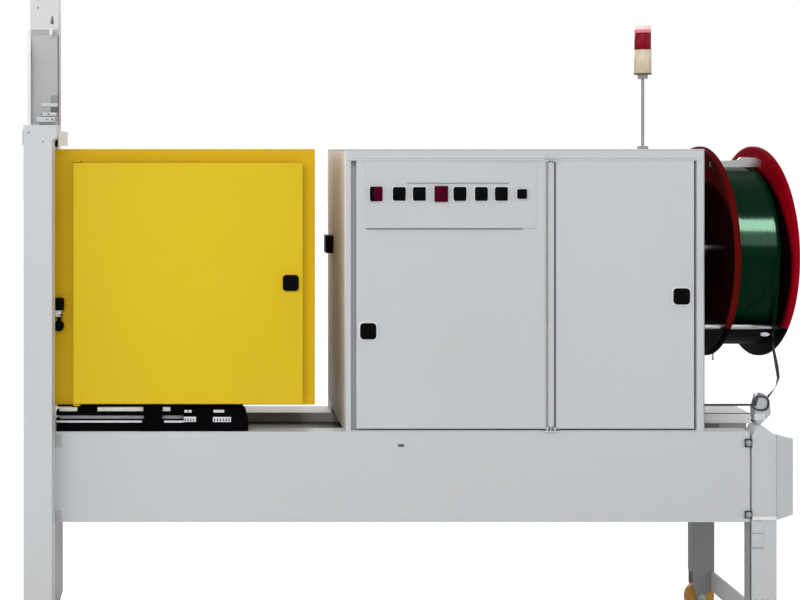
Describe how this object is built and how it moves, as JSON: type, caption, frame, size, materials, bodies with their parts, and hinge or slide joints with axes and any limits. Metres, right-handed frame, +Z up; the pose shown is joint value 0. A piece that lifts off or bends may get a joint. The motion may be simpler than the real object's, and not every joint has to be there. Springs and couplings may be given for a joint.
{
  "type": "vertical strapping machine",
  "caption": "Vertical strapping machine with an open arch for the load, a sliding yellow head, a control cabinet with doors and a strap reel between red guards.",
  "frame": {"origin": "centre of the machine's bounding box, on the floor; Y = 0 is the strap's plane", "axes": "+X from the open arch towards the reel, -Y the side of the doors, +Z up"},
  "size_m": [3.206, 0.61, 1.93],
  "materials": {
    "light_paint": "satin light grey enamel",
    "yellow_paint": "satin yellow enamel",
    "black_paint": "satin black enamel",
    "bright_steel": "ground bright",
    "red_paint": "gloss crimson enamel",
    "black_plastic": "moulded",
    "green_strap": "wound polyester strap, edges outwards",
    "dark_strap": "single layer of strap",
    "panel_face": "satin",
    "cream_lens": "translucent",
    "red_lens": "translucent",
    "amber_wheel": "polyurethane"
  },
  "bodies": {
    "frame": {"front_beam": "light_paint", "rear_beam": "light_paint", "cross_members": "light_paint", "base_tray": "light_paint", "leg_front_right": "light_paint", "leg_rear_right": "light_paint", "corner_covers": "light_paint", "arch_front_post": "light_paint", "arch_rear_post": "light_paint", "arch_sills": "light_paint", "arch_cross_head": "light_paint", "arch_lower_column": "light_paint", "arch_upper_column": "light_paint", "arch_far_column": "light_paint", "arch_top_beam": "light_paint", "bottom_track": "light_paint", "corner_guides": "black_plastic", "column_guard": "light_paint", "cabinet_top": "light_paint", "cabinet_floor": "light_paint", "cabinet_left_wall": "light_paint", "cabinet_right_wall": "light_paint", "cabinet_back": "light_paint", "cabinet_posts": "light_paint", "side_socket": "black_plastic", "slide_rails": "black_paint", "slide_rods": "bright_steel", "reel_guard_left": "red_paint", "reel_guard_right": "red_paint", "reel_lower_shroud": "black_paint", "reel_stays": "bright_steel", "reel_shaft": "bright_steel", "strap_guide": "bright_steel", "strap_run": "dark_strap", "signal_pole": "light_paint", "signal_lamp_cream": "cream_lens", "signal_lamp_red": "red_lens"},
    "door_left": {"cabinet_door_left": "light_paint", "control_panel": "panel_face", "panel_buttons": "black_plastic", "latch_left": "black_plastic"},
    "door_right": {"cabinet_door_right": "light_paint", "latch_right": "black_plastic"},
    "head": {"head_top_and_floor": "yellow_paint", "head_side_walls": "yellow_paint", "head_back": "yellow_paint", "head_front_frame": "yellow_paint", "head_switches": "black_plastic", "press_plate": "bright_steel", "head_carriages": "black_paint"},
    "head_door": {"head_door": "yellow_paint", "head_latch": "black_plastic"},
    "reel": {"reel_drum": "black_plastic", "strap_coil": "green_strap"},
    "guide_roller": {"guide_roller": "bright_steel"},
    "wheel_front": {"wheel_front": "amber_wheel"},
    "wheel_rear": {"wheel_rear": "amber_wheel"}
  },
  "joints": [
    {"name": "cabinet_door_left", "type": "hinge", "parent": "frame", "child": "door_left", "pos_m": [0.9665, -0.23, 0.95], "axis": [0, 0, 1], "range_deg": [0, 90]},
    {"name": "cabinet_door_right", "type": "hinge", "parent": "frame", "child": "door_right", "pos_m": [0.9865, -0.23, 0.95], "axis": [0, 0, -1], "range_deg": [0, 90]},
    {"name": "head_slide", "type": "slide", "parent": "frame", "child": "head", "axis": [-1, 0, 0], "range_m": [0, 0.15]},
    {"name": "head_door", "type": "hinge", "parent": "head", "child": "head_door", "pos_m": [-0.21, -0.217, 0.95], "axis": [0, 0, -1], "range_deg": [0, 90]},
    {"name": "reel_spin", "type": "hinge", "parent": "frame", "child": "reel", "pos_m": [1.5, 0, 1.03], "axis": [1, 0, 0], "continuous": true},
    {"name": "guide_roller_spin", "type": "hinge", "parent": "frame", "child": "guide_roller", "pos_m": [1.516, -0.19, 0.669], "axis": [0, 1, 0], "continuous": true},
    {"name": "wheel_front_spin", "type": "hinge", "parent": "frame", "child": "wheel_front", "pos_m": [1.5045, -0.211, 0.041], "axis": [0, 1, 0], "continuous": true},
    {"name": "wheel_rear_spin", "type": "hinge", "parent": "frame", "child": "wheel_rear", "pos_m": [1.5045, 0.211, 0.041], "axis": [0, 1, 0], "continuous": true}
  ]
}
